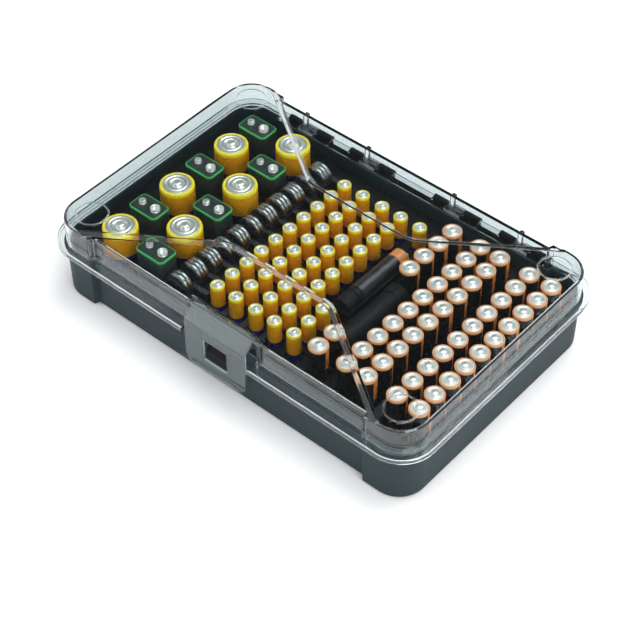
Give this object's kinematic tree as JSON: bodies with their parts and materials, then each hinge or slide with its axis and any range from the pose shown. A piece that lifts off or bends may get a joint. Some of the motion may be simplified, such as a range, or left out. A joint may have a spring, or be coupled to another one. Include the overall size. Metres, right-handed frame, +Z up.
{
  "type": "battery storage case",
  "caption": "Shallow rectangular case with a hinged clear lid and front latch, holding upright household cells, a coin-cell rack and a small tester.",
  "frame": {"origin": "middle of the case's underside, centred on the overall width and depth", "axes": "+X along the front edge to the right, +Y to the hinge side, +Z up out of the lid"},
  "size_m": [0.339, 0.2239, 0.0689],
  "materials": {
    "slate_plastic": "fine satin moulding",
    "black_plastic": "fine satin moulding",
    "steel_pin": "drawn wire",
    "clear_plastic": "clear smoke-tinted moulding",
    "aa_jacket": "black film with a copper-coloured band at the top",
    "yellow_jacket": "yellow film with a dark blue foot",
    "nine_volt_jacket": "dark film with a green edge",
    "bright_terminal": "nickel plated"
  },
  "bodies": {
    "case": {"base_tub": "slate_plastic", "latch_catch": "black_plastic", "hinge_brackets": "black_plastic", "hinge_pins": "steel_pin", "cell_tray": "black_plastic", "coin_rack": "black_plastic", "coin_cells": "bright_terminal", "aa_cells_1": "aa_jacket", "aa_cells_2": "aa_jacket", "aa_cells_3": "aa_jacket", "aa_cells_4": "aa_jacket", "aa_cells_5": "aa_jacket", "aa_terminals_1": "bright_terminal", "aa_terminals_2": "bright_terminal", "aa_terminals_3": "bright_terminal", "aa_terminals_4": "bright_terminal", "aa_terminals_5": "bright_terminal", "aaa_cells_1": "yellow_jacket", "aaa_cells_2": "yellow_jacket", "aaa_cells_3": "yellow_jacket", "aaa_cells_4": "yellow_jacket", "aaa_cells_5": "yellow_jacket", "aaa_terminals_1": "bright_terminal", "aaa_terminals_2": "bright_terminal", "aaa_terminals_3": "bright_terminal", "aaa_terminals_4": "bright_terminal", "aaa_terminals_5": "bright_terminal", "c_cells": "yellow_jacket", "c_terminals": "bright_terminal", "nine_volt_cells": "nine_volt_jacket", "nine_volt_round_snaps": "bright_terminal", "nine_volt_socket_snaps": "bright_terminal", "tester_cradle": "black_plastic", "tester_cap": "black_plastic", "tester_contacts": "bright_terminal", "test_cell_jacket": "aa_jacket", "test_cell_terminal": "bright_terminal", "tester_housing": "black_plastic", "tester_collar": "black_plastic"},
    "lid": {"lid_shell": "clear_plastic", "latch_pin": "steel_pin"},
    "latch": {"latch_clip": "clear_plastic"}
  },
  "joints": [
    {"name": "lid_hinge", "type": "hinge", "parent": "case", "child": "lid", "pos_m": [0, 0.1094, 0.0462], "axis": [-1, 0, 0], "range_deg": [0, 110]},
    {"name": "latch_swing", "type": "hinge", "parent": "lid", "child": "latch", "pos_m": [0, -0.1006, 0.0638], "axis": [-1, 0, 0], "range_deg": [0, 40]}
  ]
}
